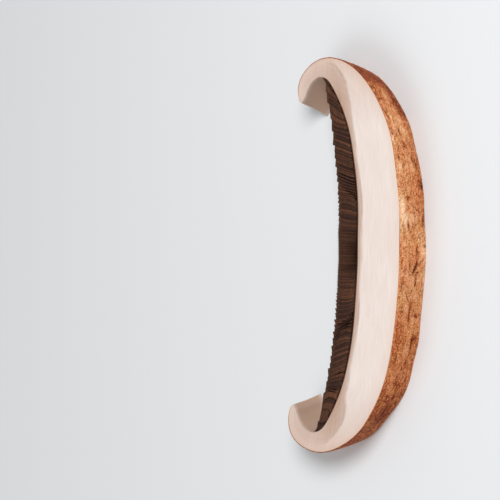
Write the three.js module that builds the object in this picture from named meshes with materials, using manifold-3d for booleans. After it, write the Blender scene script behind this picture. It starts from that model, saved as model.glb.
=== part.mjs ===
// One slice cut from the cap of a portobello mushroom, lying on its smaller cut face.
// Millimetres, +Z up. X runs along the slice from margin to margin, the crown of the cap points
// to -Y and the gills to +Y, and Z is the thickness of the slice. The origin is the middle of the
// bounding box, on the lower cut face.
//
// The cap is round about an axis along Y. A point of it is worked out first as (x, height, reach):
// x along the slice, height towards the crown from the cap's widest line, and reach, the distance
// from the axis to the plane of the cut that the point lies in. The upper cut face has the smaller
// reach, so it is a little larger than the lower one.
import * as THREE from "three";
import { mergeVertices } from "three/addons/utils/BufferGeometryUtils.js";
import Module from "manifold-3d";

const wasm = await Module();
wasm.setup();

// The cap.
const capRadius = 71; // at its widest line
const domeHeight = 42; // crown above the widest line
const domePower = 2.15; // exponent of the superellipse: 2 is an ellipse, more is squarer
const lipWidth = 11; // the margin rolls in round an ellipse of these half axes
const lipDrop = 14.6;
const lipSweep = THREE.MathUtils.degToRad(112);

// The cut.
const sliceThickness = 13.2;
const nearReach = 9.5; // from the cap's axis to the upper cut face
const farReach = nearReach + sliceThickness;

// The tissues. Neighbours keep a hairline gap.
const skinThickness = 1.1;
const skinAtTip = 0.7;
const hairline = 0.2;
const bedThickness = 0.9; // the layer that every gill grows from
const bedShare = 0.79; // of the underside: the bed ends inside the rolled margin

// The underside of the flesh, in the plane of radius and height: from the crown's middle, out
// along the gills and round inside the rolled margin to its tip.
const undersidePoints = [
  [0, 21],
  [25, 18.8],
  [40, 14.8],
  [51.4, 10.1],
  [59.3, 5.1],
  [63.2, 1.2],
  [64.2, -3],
  [62.8, -6.8],
  [60, -9.4],
  [57.2, -10.9],
  [55.3, -12.6],
];

// The gills: blades that run out from the stem's place to the margin, in tiers. Each tier fills the
// spaces of the one before it, from the radius where they have grown wide enough.
const gillThickness = 0.7;
const gillDepth = 10;
const gillInnerRadius = 8.5;
const gillOuterRadius = 63;
const gillStep = THREE.MathUtils.degToRad(8);
const gillTiers = [
  { step: gillStep, offset: 0, start: gillInnerRadius },
  { step: gillStep, offset: gillStep / 2, start: 17.5 },
  { step: gillStep / 2, offset: gillStep / 4, start: 34 },
];
const gillLastAngle = THREE.MathUtils.degToRad(81);
const gillPointSpacing = 8;
const gillUnevenness = 0.12; // of a step, either way
const gillSway = 0.35;
const gillSwayLength = 6;
const gillRamp = 11; // a blade gets its full depth over this length
const gillLeastDepth = 1.2;
const gillDepthAtMargin = 0.5; // of the full depth

// How finely the surfaces are split.
const halfCount = 44; // points from the crown to a tip
const taperCount = 6; // points over which the skin thins at a tip
const bedHalfCount = 24;
const profileCount = 240; // points of a profile before it is spaced evenly
const skinLevels = 6;
const fleshLevels = 4;
const bedLevels = 1;

const colours = { skin: 0xa8683c, flesh: 0xefe0d3, gills: 0x4a2a1b };

const { cos, sin, sqrt, exp, abs, min, max, PI } = Math;

// Seeded random numbers from 0 to 1.
function seededRandom(seed) {
  let state = seed;
  return () => {
    state = (state * 1664525 + 1013904223) % 4294967296;
    return state / 4294967296;
  };
}

// Half of the cap's outline, crown to tip, as (radius, height).
class CapOutline extends THREE.Curve {
  getPoint(t, target = new THREE.Vector2()) {
    const domeShare = 0.75;
    if (t < domeShare) {
      const angle = (1 - t / domeShare) * (PI / 2);
      const power = 2 / domePower;
      return target.set(capRadius * cos(angle) ** power, domeHeight * sin(angle) ** power);
    }
    const turn = ((t - domeShare) / (1 - domeShare)) * lipSweep;
    return target.set(capRadius - lipWidth * (1 - cos(turn)), -lipDrop * sin(turn));
  }
}

const outline = new CapOutline();
outline.arcLengthDivisions = profileCount * 2;
const underside = new THREE.SplineCurve(undersidePoints.map(([r, h]) => new THREE.Vector2(r, h)));

// Where the plane at this reach cuts the surface that a profile sweeps round the axis. The points
// run from the tip on the -X side, over the crown, to the tip on the +X side, evenly spaced.
function section(profile, reach, share = 1, count = halfCount) {
  const points = profile.getSpacedPoints(profileCount);
  const first = points.findIndex((p) => p.x > reach);
  const [inside, outside] = [points[first - 1], points[first]];
  const part = (reach - inside.x) / (outside.x - inside.x);
  const half = [new THREE.Vector2(0, inside.y + part * (outside.y - inside.y))];
  for (const p of points.slice(first)) half.push(new THREE.Vector2(sqrt(p.x ** 2 - reach ** 2), p.y));
  const curve = new THREE.SplineCurve(half.slice(0, Math.round(half.length * share)));
  curve.arcLengthDivisions = profileCount * 2;
  const spaced = curve.getSpacedPoints(count);
  const mirrored = spaced.slice(1).reverse().map((p) => new THREE.Vector2(-p.x, p.y));
  return [...mirrored, ...spaced];
}

// The same row of points moved along its own normals: towards the crown's side if the distance is
// positive, and inwards if it is negative. The distance may differ from point to point.
function moved(points, distance) {
  return points.map((p, i) => {
    const before = points[max(0, i - 1)];
    const after = points[min(points.length - 1, i + 1)];
    const along = new THREE.Vector2().subVectors(after, before).normalize();
    const step = typeof distance === "number" ? distance : distance(p, i);
    return new THREE.Vector2(p.x - along.y * step, p.y + along.x * step);
  });
}

// The uneven growth of the cap, the same for every tissue: the dome swells here and there along the
// slice, and the margins roll in unequally. It leaves the thickness of the slice alone.
const swellings = [
  { at: -43, width: 15, rise: 1.5 },
  { at: 30, width: 10, rise: -0.4 },
  { at: 44, width: 8, rise: 0.8 },
  { at: 58, width: 8, rise: -0.5 },
];
const margins = [
  { side: -1, inwards: 1.6, lower: 1.5 },
  { side: 1, inwards: 0.9, lower: -0.8 },
];
function grown(x, height, reach) {
  let grownHeight = height + 0.25 * sin(x / 7.5 + reach / 9);
  for (const { at, width, rise } of swellings) grownHeight += rise * exp(-(((x - at) / width) ** 2));
  let grownX = x;
  for (const { side, inwards, lower } of margins) {
    const outwards = THREE.MathUtils.smoothstep((side * x) / capRadius, 0.55, 1);
    const share = outwards * THREE.MathUtils.smoothstep(-height, -6, 12);
    grownX -= side * inwards * share;
    grownHeight -= lower * share;
  }
  return [grownX, grownHeight];
}

// The place in the part's frame, in millimetres, before the part is centred.
function placed(x, height, reach) {
  const [gx, gh] = grown(x, height, reach);
  return [gx, -gh, farReach - reach];
}

// The skin's unevenness, as a height over the smooth dome, from the distance along the slice and the
// reach: low lumps, and a few creases that cross the band aslant, each with a ridge beside it.
const lumps = [
  { height: 0.22, along: 4.1, across: 5, phase: 0 },
  { height: 0.16, along: 2.3, across: -3.1, phase: 1 },
];
const creases = [
  { at: -58, slant: 0.5, width: 1.6, depth: 0.45 },
  { at: -37, slant: -0.35, width: 1.3, depth: 0.4 },
  { at: -13, slant: 0.25, width: 1.8, depth: 0.35 },
  { at: 16, slant: -0.5, width: 1.5, depth: 0.4 },
  { at: 41, slant: 0.7, width: 1.4, depth: 0.45 },
  { at: 60, slant: 0.3, width: 1.7, depth: 0.4 },
];
function relief(x, reach) {
  let height = 0;
  for (const { height: size, along, across, phase } of lumps) {
    height += size * sin(x / along + reach / across + phase);
  }
  for (const { at, slant, width, depth } of creases) {
    const off = (x - at - slant * (reach - nearReach)) / width;
    height += depth * (0.5 * exp(-((off - 1.4) ** 2)) - exp(-(off ** 2)));
  }
  return height;
}

// A geometry from quads, each a list of four corners, anticlockwise seen from outside.
function fromQuads(quads) {
  const positions = quads.flatMap(([a, b, c, d]) => [...a, ...b, ...c, ...a, ...c, ...d]);
  const geometry = new THREE.BufferGeometry();
  geometry.setAttribute("position", new THREE.Float32BufferAttribute(positions, 3));
  return mergeVertices(geometry, 1e-4);
}

// A band of tissue between two rows of points in each plane of cut, the outer row on the crown's
// side, closed at both tips and at both cut faces. rowsAt(reach) gives [outer, inner].
function band(rowsAt, levels) {
  const grids = [];
  for (let level = 0; level <= levels; level++) {
    const reach = farReach - (sliceThickness * level) / levels;
    grids.push(rowsAt(reach).map((row) => row.map((p) => placed(p.x, p.y, reach))));
  }
  const quads = [];
  const last = grids[0][0].length - 1;
  for (let level = 0; level < levels; level++) {
    const [[outer0, inner0], [outer1, inner1]] = [grids[level], grids[level + 1]];
    for (let i = 0; i < last; i++) {
      quads.push([outer0[i], outer0[i + 1], outer1[i + 1], outer1[i]]);
      quads.push([inner0[i + 1], inner0[i], inner1[i], inner1[i + 1]]);
    }
    quads.push([inner0[0], outer0[0], outer1[0], inner1[0]]);
    quads.push([outer0[last], inner0[last], inner1[last], outer1[last]]);
  }
  const [bottomOuter, bottomInner] = grids[0];
  const [topOuter, topInner] = grids[levels];
  for (let i = 0; i < last; i++) {
    quads.push([bottomOuter[i + 1], bottomOuter[i], bottomInner[i], bottomInner[i + 1]]);
    quads.push([topOuter[i], topOuter[i + 1], topInner[i + 1], topInner[i]]);
  }
  return fromQuads(quads);
}

function skinGeometry() {
  return band((reach) => {
    const dome = section(outline, reach);
    const nearTip = (i) => min(1, min(i, dome.length - 1 - i) / taperCount);
    const thickness = (p, i) => -THREE.MathUtils.lerp(skinAtTip, skinThickness, nearTip(i));
    return [moved(dome, (p, i) => relief(p.x, reach) * nearTip(i)), moved(dome, thickness)];
  }, skinLevels);
}

function fleshGeometry() {
  return band((reach) => {
    const underSkin = moved(section(outline, reach), -(skinThickness + hairline));
    return [underSkin, section(underside, reach)];
  }, fleshLevels);
}

// The bed of the gills lies against the flesh.
function bedGeometry() {
  return band((reach) => {
    const against = section(underside, reach, bedShare, bedHalfCount);
    return [moved(against, -hairline), moved(against, -(hairline + bedThickness))];
  }, bedLevels);
}

// The height of the flesh's underside at a radius, up to the gills' outer end.
const undersideRow = underside.getSpacedPoints(profileCount);
function undersideAt(radius) {
  const next = undersideRow.findIndex((p) => p.x >= radius);
  if (next < 1) return undersideRow[0].y;
  const [a, b] = [undersideRow[next - 1], undersideRow[next]];
  return a.y + ((radius - a.x) / (b.x - a.x)) * (b.y - a.y);
}

// A blade's outline as (radius, height): its root in the bed, and its free edge, which rises to
// the flesh where the blade starts and gets shallow at the margin.
function bladeShape(from, to, start) {
  const count = max(2, Math.ceil((to - from) / gillPointSpacing));
  const root = [];
  const edge = [];
  for (let i = 0; i <= count; i++) {
    const radius = from + ((to - from) * i) / count;
    const atStart = THREE.MathUtils.smoothstep(radius, start - gillRamp / 2, start + gillRamp / 2);
    const atMargin = 1 - (1 - gillDepthAtMargin) * (radius / gillOuterRadius) ** 6;
    const top = undersideAt(radius) - hairline - bedThickness / 2;
    root.push(new THREE.Vector2(radius, top));
    edge.unshift(new THREE.Vector2(radius, top - max(gillLeastDepth, gillDepth * atStart * atMargin)));
  }
  return new THREE.Shape([...root, ...edge].reverse());
}

// One blade as a thin plate that stands on a radius of the cap, swaying a little along its length.
function bladeGeometry(angle, from, to, start, sway) {
  const geometry = new THREE.ExtrudeGeometry(bladeShape(from, to, start), {
    depth: gillThickness,
    bevelEnabled: false,
  });
  const position = geometry.getAttribute("position");
  for (let i = 0; i < position.count; i++) {
    const [radius, height] = [position.getX(i), position.getY(i)];
    const wave = gillSway * sin((radius + height) / gillSwayLength + sway);
    const offset = position.getZ(i) - gillThickness / 2 + wave;
    position.setXYZ(
      i,
      radius * sin(angle) - offset * cos(angle),
      height,
      radius * cos(angle) + offset * sin(angle),
    );
  }
  return geometry;
}

// A manifold-3d solid from a geometry, and back.
function solid(geometry) {
  const bare = geometry.clone();
  bare.deleteAttribute("normal");
  bare.deleteAttribute("uv");
  const merged = mergeVertices(bare, 1e-4);
  const mesh = new wasm.Mesh({
    numProp: 3,
    vertProperties: merged.attributes.position.array,
    triVerts: new Uint32Array(merged.index.array),
  });
  return new wasm.Manifold(mesh);
}

function toGeometry(manifold) {
  const mesh = manifold.getMesh();
  const geometry = new THREE.BufferGeometry();
  geometry.setAttribute("position", new THREE.BufferAttribute(mesh.vertProperties, 3));
  geometry.setIndex(new THREE.BufferAttribute(mesh.triVerts, 1));
  return geometry;
}

// Moves a geometry whose points are (x, height, reach) into the part's frame.
function intoPlace(geometry) {
  const position = geometry.getAttribute("position");
  for (let i = 0; i < position.count; i++) {
    position.setXYZ(i, ...placed(position.getX(i), position.getY(i), position.getZ(i)));
  }
  return geometry;
}

// All the blades that the slice holds, trimmed at both cut faces and fused to their bed.
function gillsGeometry() {
  const random = seededRandom(7);
  const blades = [];
  for (const { step, offset, start } of gillTiers) {
    const reachable = Math.floor((gillLastAngle - offset) / step);
    for (let n = -reachable - 1; n <= reachable; n++) {
      const angle = offset + step * (n + gillUnevenness * (2 * random() - 1));
      const sway = 2 * PI * random();
      if (abs(angle) > gillLastAngle) continue;
      const from = max(start, (nearReach - 1) / cos(angle));
      const to = min(gillOuterRadius, (farReach + 1) / cos(angle));
      if (to - from > 2) blades.push(bladeGeometry(angle, from, to, start, sway));
    }
  }
  const slab = new THREE.BoxGeometry(4 * capRadius, 4 * domeHeight, sliceThickness);
  slab.translate(0, 0, (nearReach + farReach) / 2);
  const trimmed = blades
    .map((blade) => solid(blade))
    .reduce((joined, blade) => joined.add(blade))
    .intersect(solid(slab));
  return toGeometry(trimmed);
}

function tissue(name, geometry, color, roughness) {
  const mesh = new THREE.Mesh(geometry, new THREE.MeshStandardMaterial({ color, roughness }));
  mesh.name = name;
  return mesh;
}

const slice = new THREE.Group();
slice.add(tissue("cap_skin", skinGeometry(), colours.skin, 0.5));
slice.add(tissue("cap_flesh", fleshGeometry(), colours.flesh, 0.8));
const blades = solid(intoPlace(gillsGeometry()));
slice.add(tissue("gills", toGeometry(blades.add(solid(bedGeometry()))), colours.gills, 0.85));

const bounds = new THREE.Box3().setFromObject(slice);
const middle = bounds.getCenter(new THREE.Vector3());
slice.position.set(-middle.x, -middle.y, -bounds.min.z);

export default slice;
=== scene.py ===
import math

import bpy
import numpy as np
from mathutils import Matrix, Vector


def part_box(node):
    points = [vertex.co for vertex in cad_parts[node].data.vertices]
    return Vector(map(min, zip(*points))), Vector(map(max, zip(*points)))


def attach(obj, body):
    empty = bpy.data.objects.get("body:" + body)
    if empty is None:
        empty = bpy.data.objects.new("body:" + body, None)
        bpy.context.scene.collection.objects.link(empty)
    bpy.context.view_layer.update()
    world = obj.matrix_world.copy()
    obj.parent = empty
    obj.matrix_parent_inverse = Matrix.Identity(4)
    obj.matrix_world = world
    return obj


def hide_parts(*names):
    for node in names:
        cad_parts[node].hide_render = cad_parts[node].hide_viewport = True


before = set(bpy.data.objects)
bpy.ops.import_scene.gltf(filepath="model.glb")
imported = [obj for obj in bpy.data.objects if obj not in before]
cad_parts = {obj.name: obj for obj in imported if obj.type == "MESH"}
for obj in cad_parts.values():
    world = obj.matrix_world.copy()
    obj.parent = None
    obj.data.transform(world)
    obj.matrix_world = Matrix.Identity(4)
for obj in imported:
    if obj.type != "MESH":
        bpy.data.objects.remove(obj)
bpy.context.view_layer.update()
print("frame loaded,", len(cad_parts), "nodes")

# Shapes are worked out in millimetres, as (x along the slice, height towards the crown from the
# cap's widest line, reach from the cap's axis to the plane of cut), and put into the part's frame
# in metres at the end. The upper cut face has the smaller reach.
mm = 0.001

cap = {
    "radius": 71.0,
    "domeHeight": 42.0,
    "domePower": 2.15,  # exponent of the superellipse
    "domeShare": 0.75,  # of the outline's parameter; the rest is the rolled margin
    "lipWidth": 11.0,
    "lipDrop": 14.6,
    "lipSweep": math.radians(112),
    "nearReach": 9.5,
    "farReach": 22.7,
    "skinThickness": 0.45,
    "skinAtTip": 0.35,
    "skinTaper": 15.0,  # it thins over this way to the tip
    "underside": [  # radius and height, from the middle out and round inside the margin
        (0, 21), (25, 18.8), (40, 14.8), (51.4, 10.1), (59.3, 5.1), (63.2, 1.2),
        (64.2, -3), (62.8, -6.8), (60, -9.4), (57.2, -10.9), (55.3, -12.6),
    ],
    "ripple": (0.25, 7.5, 9),  # height, and its length along and through the slice
    "swellings": [(-43, 15, 1.5), (30, 10, -0.4), (44, 11, 0.5)],  # at, width, rise
    "fuller": [  # those that the solids don't have: all through, and growing to the lower cut face
        [(30, 17, 0.9), (5, 8, -0.4), (-22, 14, 0.6), (-54, 9, 0.8), (-62, 6, 1.3)],
        [
            (39, 6, -1.0), (22, 7, 0.4), (5, 8, 1.1), (-30, 7, 1.0), (-43, 6, 0.9),
            (-57, 5, -0.9), (-60, 6, -0.8),
        ],
    ],
    "margins": [(-1, 1.6, 1.5), (1, 0.9, -0.8)],  # side, inwards, lower
    "marginsFrom": 0.55,  # share of the radius
    "marginsEase": (-6, 12),  # below the widest line
    "solidRow": 45,  # points of the solids' rows from the crown to a tip
    "solidInset": 1.3,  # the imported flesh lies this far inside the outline
}
sliceThickness = cap["farReach"] - cap["nearReach"]


# 3t^2 - 2t^3 of the share t of the way from low to high, 0 before and 1 after.
def smoothStep(values, low, high):
    t = np.clip((values - low) / (high - low), 0, 1)
    return t * t * (3 - 2 * t)


# Gradient noise: every lattice corner has a random direction, and the value is the smooth blend of
# the corners' dot products with the way to the point. About -1 to 1.
def gradientNoise(points, seed):
    rng = np.random.default_rng(seed)
    order = np.tile(rng.permutation(256), 2)
    directions = rng.normal(size=(256, 3))
    directions /= np.linalg.norm(directions, axis=1)[:, None]
    cell = np.floor(points).astype(np.int64)
    inside = points - cell
    blend = inside**3 * (inside * (inside * 6 - 15) + 10)
    total = np.zeros(points.shape[:-1])
    for corner in np.ndindex(2, 2, 2):
        corner = np.array(corner)
        index = (cell + corner) & 255
        pick = order[order[order[index[..., 0]] + index[..., 1]] + index[..., 2]]
        weight = np.prod(np.where(corner == 1, blend, 1 - blend), axis=-1)
        total += weight * np.sum(directions[pick] * (inside - corner), axis=-1)
    return total * 1.6


# Gradient noises added one on another, each with half the size and half the strength of the one
# before, over the sum of their strengths.
def layeredNoise(points, size, layers, seed):
    total = np.zeros(points.shape[:-1])
    for layer in range(layers):
        total += gradientNoise(points * 2**layer / size, seed + layer) / 2**layer
    return total / (2 - 2.0 ** (1 - layers))


# The way along a row of points: the summed lengths of its steps in the first two columns.
def wayAlong(points):
    return np.concatenate([[0], np.cumsum(np.hypot(*np.diff(points[:, :2], axis=0).T))])


# The points with their way as one more column.
def withWay(points):
    return np.column_stack([points, wayAlong(points)])


# A row of points resampled at even steps of its way.
def evenly(points, count):
    way = wayAlong(points)
    at = np.linspace(0, way[-1], count)
    return np.stack([np.interp(at, way, column) for column in points.T], axis=1)


# A superellipse quarter from the crown to the widest line, then part of an ellipse round the
# rolled margin: columns of radius, height and the way along the outline.
def capOutline(count=4000):
    t = np.linspace(0, 1, count)
    angle = (1 - np.minimum(t / cap["domeShare"], 1)) * math.pi / 2
    turn = np.maximum(0, (t - cap["domeShare"]) / (1 - cap["domeShare"])) * cap["lipSweep"]
    power = 2 / cap["domePower"]
    radius = cap["radius"] * np.cos(angle) ** power - cap["lipWidth"] * (1 - np.cos(turn))
    height = cap["domeHeight"] * np.sin(angle) ** power - cap["lipDrop"] * np.sin(turn)
    return withWay(evenly(np.stack([radius, height], axis=1), count))


# A uniform Catmull-Rom spline through the chosen points: cubics whose slope at each point is half
# the step between its neighbours.
def splineThrough(chosen, count=4000):
    knots = np.array(chosen, float)
    last = len(knots) - 1
    t = np.linspace(0, last, count)
    first = np.minimum(t.astype(int), last - 1)
    t = (t - first)[:, None]
    before, start, end, after = (knots[np.clip(first + step, 0, last)] for step in (-1, 0, 1, 2))
    slope0, slope1 = (end - before) / 2, (after - start) / 2
    cubic = (2 * start - 2 * end + slope0 + slope1) * t**3
    square = (3 * end - 3 * start - 2 * slope0 - slope1) * t**2
    return withWay(evenly(cubic + square + slope0 * t + start, count))


outline = capOutline()
underside = splineThrough(cap["underside"])


# Where the plane at this reach cuts the surface that a profile sweeps round the axis: x is the root
# of radius squared less reach squared. From one margin's tip over the crown to the other's, evenly
# spaced, as columns of x, height and way along the profile. count is that of one half, and share
# stops it short of the tips.
def section(profile, reach, count, share=1.0):
    first = int(np.argmax(profile[:, 0] > reach))
    inside, outside = profile[first - 1], profile[first]
    crown = inside + (outside - inside) * (reach - inside[0]) / (outside[0] - inside[0])
    half = np.vstack([crown, profile[first:]])
    half[:, 0] = np.sqrt(np.maximum(0, half[:, 0] ** 2 - reach**2))
    half = evenly(half[: round(len(half) * share)], count)
    mirrored = half[:0:-1] * [-1, 1, 1]
    return np.vstack([mirrored, half])


# The rows of a section moved along their normals in the plane of cut, outwards if positive.
def moved(row, distance):
    alongX, alongY = np.gradient(row[:, 0]), np.gradient(row[:, 1])
    length = np.hypot(alongX, alongY)
    result = row.copy()
    result[:, 0] -= alongY / length * distance
    result[:, 1] += alongX / length * distance
    return result


# The cap's uneven growth: a sine ripple, gaussian swellings of the dome along the slice, and
# margins that roll in unequally, eased in near the ends and below the widest line.
def grown(x, height, reach, fuller):
    rise, alongLength, throughLength = cap["ripple"]
    higher = height + rise * np.sin(x / alongLength + reach / throughLength)
    towardsLower = (reach - cap["nearReach"]) / sliceThickness
    allThrough, atLower = cap["fuller"] if fuller else ([], [])
    for share, swellings in ((1, cap["swellings"]), (1, allThrough), (towardsLower, atLower)):
        for at, width, rise in swellings:
            higher = higher + share * rise * np.exp(-(((x - at) / width) ** 2))
    wider = x
    for side, inwards, lower in cap["margins"]:
        share = smoothStep(side * x / cap["radius"], cap["marginsFrom"], 1)
        share = share * smoothStep(-height, *cap["marginsEase"])
        wider = wider - side * inwards * share
        higher = higher - lower * share
    return wider, higher


# Into the part's frame, in millimetres, before the slice is centred on its origin: x, the height
# turned towards -y, and the reach turned into the height over the lower cut face.
def placed(x, height, reach, fuller=True):
    wider, higher = grown(x, height, reach, fuller)
    return np.stack([wider, -higher, cap["farReach"] - reach + 0 * wider], axis=-1)


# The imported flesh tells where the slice's origin is: its box against that of the same formula.
def originOffset():
    low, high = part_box("cap_flesh")
    rows = []
    for reach in (cap["nearReach"], cap["farReach"]):
        row = moved(section(outline, reach, cap["solidRow"]), -cap["solidInset"])
        rows.append(placed(row[:, 0], row[:, 1], reach, fuller=False))
    points = np.vstack(rows)
    middle = (points.min(axis=0) + points.max(axis=0)) / 2
    return np.array([(low.x + high.x) / 2 / mm, (low.y + high.y) / 2 / mm, middle[2]]) - middle


offset = originOffset()
print("origin offset", offset.round(3))


# Centred on the part's origin, in metres.
def toMetres(points):
    return (points + offset) * mm


# From the given thickness at the tip to the full one, by a smooth step of the way to the tip.
def skinThicknessAt(toTip):
    taper = smoothStep(toTip, 0, cap["skinTaper"])
    return cap["skinAtTip"] + (cap["skinThickness"] - cap["skinAtTip"]) * taper


# Quads between neighbouring rows of a grid of loops, (row, place in the loop), loops closed.
def loopFaces(rows, places, first=0):
    row, place = np.meshgrid(np.arange(rows - 1), np.arange(places), indexing="ij")
    nextPlace = (place + 1) % places
    quads = [row * places + place, row * places + nextPlace]
    quads += [(row + 1) * places + nextPlace, (row + 1) * places + place]
    return first + np.stack(quads, axis=-1).reshape(-1, 4)


# Triangles from a loop to a point at its middle, turned one way or the other.
def fanFaces(loop, middle, turned):
    nextInLoop = np.roll(loop, -1)
    centre = np.full_like(loop, middle)
    return np.stack([nextInLoop, loop, centre] if turned else [loop, nextInLoop, centre], axis=-1)


# Quads across both ends of a grid of loops that go there and back, from each place to the one
# opposite.
def stripEnds(rows, places):
    pair = np.arange(places // 2 - 1)
    near = np.stack([pair + 1, pair, places - 1 - pair, places - 2 - pair], axis=-1)
    return np.concatenate([near, near[:, ::-1] + (rows - 1) * places])


# A closed tube from a grid of loops: its side, and a fan from each end loop to its mean point.
# values are grids of floats, one for each attribute.
def closedTube(grid, values):
    rows, places = grid.shape[:2]
    points = np.vstack([grid.reshape(-1, 3), grid[0].mean(axis=0), grid[-1].mean(axis=0)])
    loop = np.arange(places)
    ends = [
        fanFaces(loop, rows * places, True),
        fanFaces(loop + (rows - 1) * places, rows * places + 1, False),
    ]
    flat = {
        name: np.concatenate([grid.ravel(), [grid[0].mean(), grid[-1].mean()]])
        for name, grid in values.items()
    }
    return points, [loopFaces(rows, places), *ends], flat


# A smooth mesh object at the origin, riding on the body and standing for its node. Its volume is
# the sum of the tetrahedra from the origin to each face, and its faces are turned round where that
# is negative, so that they point outwards.
def addPiece(name, points, faceLists, values, node, material):
    volume = 0
    for faces in faceLists:
        for step in range(1, faces.shape[1] - 1):
            a, b, c = points[faces[:, 0]], points[faces[:, step]], points[faces[:, step + 1]]
            volume += np.einsum("ij,ij->", a, np.cross(b, c)) / 6
    if volume < 0:
        faceLists = [faces[:, ::-1] for faces in faceLists]
    allFaces = [face for faces in faceLists for face in faces.tolist()]
    mesh = bpy.data.meshes.new(name)
    mesh.from_pydata(toMetres(points).tolist(), [], allFaces)
    mesh.polygons.foreach_set("use_smooth", np.ones(len(allFaces), bool))
    for valueName, value in values.items():
        layer = mesh.attributes.new(valueName, "FLOAT", "POINT")
        layer.data.foreach_set("value", value.astype(np.float32))
    mesh.materials.append(material)
    mesh.update()
    piece = bpy.data.objects.new(name, mesh)
    bpy.context.scene.collection.objects.link(piece)
    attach(piece, "root")
    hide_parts(node)
    print(name, len(points), "points,", round(abs(volume) / 1000, 2), "cubic centimetres")
    return piece


# A colour in the usual 0 to 255 steps as linear light.
def linear(colour):
    shares = np.array(colour) / 255
    straight = np.where(shares <= 0.04045, shares / 12.92, ((shares + 0.055) / 1.055) ** 2.4)
    return (*straight.tolist(), 1.0)


# A material and helpers for its nodes. place is the point in metres from the object's origin.
class Finish:
    def __init__(self, name):
        self.material = bpy.data.materials.new(name)
        self.material.use_nodes = True
        self.tree = self.material.node_tree
        self.shader = self.tree.nodes["Principled BSDF"]
        self.place = self.tree.nodes.new("ShaderNodeTexCoord").outputs["Object"]

    # The shader's own sockets: constants are set on them, and other nodes linked to them.
    def surface(self, sockets):
        for name, value in sockets.items():
            self.put(self.shader.inputs[name], value)

    # A node with values for its sockets: numbers and colours are set, other sockets are linked.
    def node(self, kind, sockets=None, **settings):
        made = self.tree.nodes.new(kind)
        for key, value in settings.items():
            setattr(made, key, value)
        for key, value in (sockets or {}).items():
            self.put(made.inputs[key], value)
        return made

    # A link where the value is another node's socket, and otherwise a constant.
    def put(self, socket, value):
        if isinstance(value, bpy.types.NodeSocket):
            self.tree.links.new(value, socket)
        else:
            socket.default_value = value

    # The mesh's own float of this name at each point.
    def attribute(self, name):
        return self.node("ShaderNodeAttribute", attribute_name=name).outputs["Fac"]

    # Noise with forms of about this size in millimetres, squeezed by the shares in stretch.
    def noise(self, size, detail=3.0, roughness=0.5, stretch=None):
        place = self.place
        if stretch:
            place = self.node("ShaderNodeMapping", {"Vector": place, "Scale": stretch}).outputs[0]
        sockets = {"Vector": place, "Scale": 1 / (size * mm), "Detail": detail}
        sockets["Roughness"] = roughness
        return self.node("ShaderNodeTexNoise", sockets).outputs["Fac"]

    # A web of thin lines: the borders of cells of the given size, pushed about by a coarser noise.
    def cracks(self, size, width, warpSize, warp):
        sockets = {"Vector": self.place, "Scale": 1 / (warpSize * mm), "Detail": 2.0}
        push = self.node("ShaderNodeTexNoise", sockets).outputs["Color"]
        push = self.vector("SUBTRACT", {0: push, 1: (0.5, 0.5, 0.5)})
        push = self.vector("SCALE", {0: push, "Scale": warp * mm})
        place = self.vector("ADD", {0: self.place, 1: push})
        sockets = {"Vector": place, "Scale": 1 / (size * mm)}
        cells = self.node("ShaderNodeTexVoronoi", sockets, feature="DISTANCE_TO_EDGE")
        return self.span(cells.outputs["Distance"], 0.3 * width, 1.6 * width, 1.0, 0.0)

    # One operation on vectors, and below on numbers.
    def vector(self, operation, sockets):
        return self.node("ShaderNodeVectorMath", sockets, operation=operation).outputs[0]

    def math(self, operation, *values):
        made = self.node("ShaderNodeMath", dict(enumerate(values)), operation=operation)
        return made.outputs[0]

    # The range from low to high laid over another range in a straight line, and held at its ends.
    def span(self, value, low, high, outLow=0.0, outHigh=1.0):
        sockets = {"Value": value, "From Min": low, "From Max": high}
        sockets.update({"To Min": outLow, "To Max": outHigh})
        return self.node("ShaderNodeMapRange", sockets).outputs[0]

    # first where share is 0 and the blend with second where it is 1.
    def mix(self, share, first, second, blend="MIX"):
        made = self.node("ShaderNodeMix", data_type="RGBA", blend_type=blend)
        self.put(made.inputs["Factor"], share)
        self.put(made.inputs[6], first)
        self.put(made.inputs[7], second)
        return made.outputs[2]

    # A ramp through (place, colour) stops.
    def ramp(self, value, stops):
        made = self.node("ShaderNodeValToRGB", {"Fac": value})
        elements = made.color_ramp.elements
        for element, (place, colour) in zip(elements, stops):
            element.position, element.color = place, colour
        for place, colour in stops[2:]:
            elements.new(place).color = colour
        return made.outputs["Color"]

    # Relief of this height in millimetres where the value is 1, over the relief given as normal.
    def bump(self, height, distance, strength=1.0, normal=None):
        sockets = {"Height": height, "Distance": distance * mm, "Strength": strength}
        if normal:
            sockets["Normal"] = normal
        return self.node("ShaderNodeBump", sockets).outputs["Normal"]


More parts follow.
